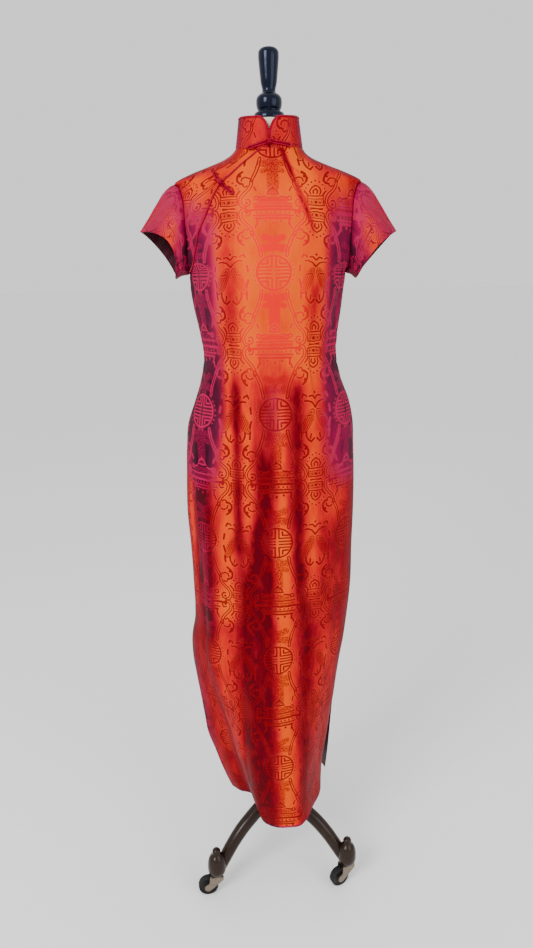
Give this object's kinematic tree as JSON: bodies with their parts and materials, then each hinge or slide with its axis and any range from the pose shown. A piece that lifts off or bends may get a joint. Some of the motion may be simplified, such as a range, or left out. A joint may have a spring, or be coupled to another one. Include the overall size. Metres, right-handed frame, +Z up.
{
  "type": "cheongsam dress on a limbless dress form with a castered stand",
  "caption": "Full-length short-sleeved cheongsam with stand collar, slanting frog-fastened opening and side slits, on a limbless dress form and castered tripod stand.",
  "frame": {"origin": "on the floor, under the middle of the whole part's box", "axes": "+Z up along the pole, -Y the way the dress faces, +X towards the wearer's left"},
  "size_m": [0.4624, 0.3101, 1.6797],
  "materials": {
    "shot_silk_brocade": "lustrous shot silk jacquard, orange ground with crimson figure",
    "crimson_satin_piping": "satin bias binding and rolled cord",
    "cream_jersey": "matt knitted cover",
    "black_lacquered_wood": "high-gloss lacquer on turned wood",
    "dark_brown_enamel": "semi-gloss enamel on castings and tube",
    "nickel_plate": "worn nickel plate on pressed steel",
    "bright_steel_tube": "bright drawn tube",
    "black_nylon_wheel": "moulded nylon"
  },
  "bodies": {
    "base": {"hub": "dark_brown_enamel", "outer_tube": "dark_brown_enamel", "leg_1": "dark_brown_enamel", "leg_2": "dark_brown_enamel", "leg_3": "dark_brown_enamel"},
    "dressed_form": {"front_panel": "shot_silk_brocade", "under_front": "shot_silk_brocade", "back_panel": "shot_silk_brocade", "sleeve_right": "shot_silk_brocade", "sleeve_left": "shot_silk_brocade", "collar": "shot_silk_brocade", "collar_piping": "crimson_satin_piping", "opening_piping": "crimson_satin_piping", "collar_frog_knot": "crimson_satin_piping", "collar_frog_arm_right": "crimson_satin_piping", "collar_frog_arm_left": "crimson_satin_piping", "chest_frog_knot": "crimson_satin_piping", "chest_frog_arm_upper": "crimson_satin_piping", "chest_frog_arm_lower": "crimson_satin_piping", "form_torso": "cream_jersey", "neck_cap": "black_lacquered_wood", "inner_pole": "bright_steel_tube"},
    "caster_1_swivel": {"caster_1_fork": "nickel_plate"},
    "caster_1_roller": {"caster_1_wheel": "black_nylon_wheel"},
    "caster_2_swivel": {"caster_2_fork": "nickel_plate"},
    "caster_2_roller": {"caster_2_wheel": "black_nylon_wheel"},
    "caster_3_swivel": {"caster_3_fork": "nickel_plate"},
    "caster_3_roller": {"caster_3_wheel": "black_nylon_wheel"}
  },
  "joints": [
    {"name": "height_slide", "type": "slide", "parent": "base", "child": "dressed_form", "axis": [0, 0, 1], "range_m": [0, 0.2]},
    {"name": "caster_1_turn", "type": "hinge", "parent": "base", "child": "caster_1_swivel", "pos_m": [-0.13148, -0.12531, 0.05], "axis": [0, 0, 1], "continuous": true},
    {"name": "caster_1_roll", "type": "hinge", "parent": "caster_1_swivel", "child": "caster_1_roller", "pos_m": [-0.15129, -0.1281, 0.0215], "axis": [-0.1392, 0.9903, 0], "continuous": true},
    {"name": "caster_2_turn", "type": "hinge", "parent": "base", "child": "caster_2_swivel", "pos_m": [0.15495, -0.10025, 0.05], "axis": [0, 0, 1], "continuous": true},
    {"name": "caster_2_roll", "type": "hinge", "parent": "caster_2_swivel", "child": "caster_2_roller", "pos_m": [0.13729, -0.10964, 0.0215], "axis": [-0.4695, 0.8829, 0], "continuous": true},
    {"name": "caster_3_turn", "type": "hinge", "parent": "base", "child": "caster_3_swivel", "pos_m": [-0.00997, 0.13527, 0.05], "axis": [0, 0, 1], "continuous": true},
    {"name": "caster_3_roll", "type": "hinge", "parent": "caster_3_swivel", "child": "caster_3_roller", "pos_m": [-0.02937, 0.14011, 0.0215], "axis": [0.2419, 0.9703, 0], "continuous": true}
  ]
}
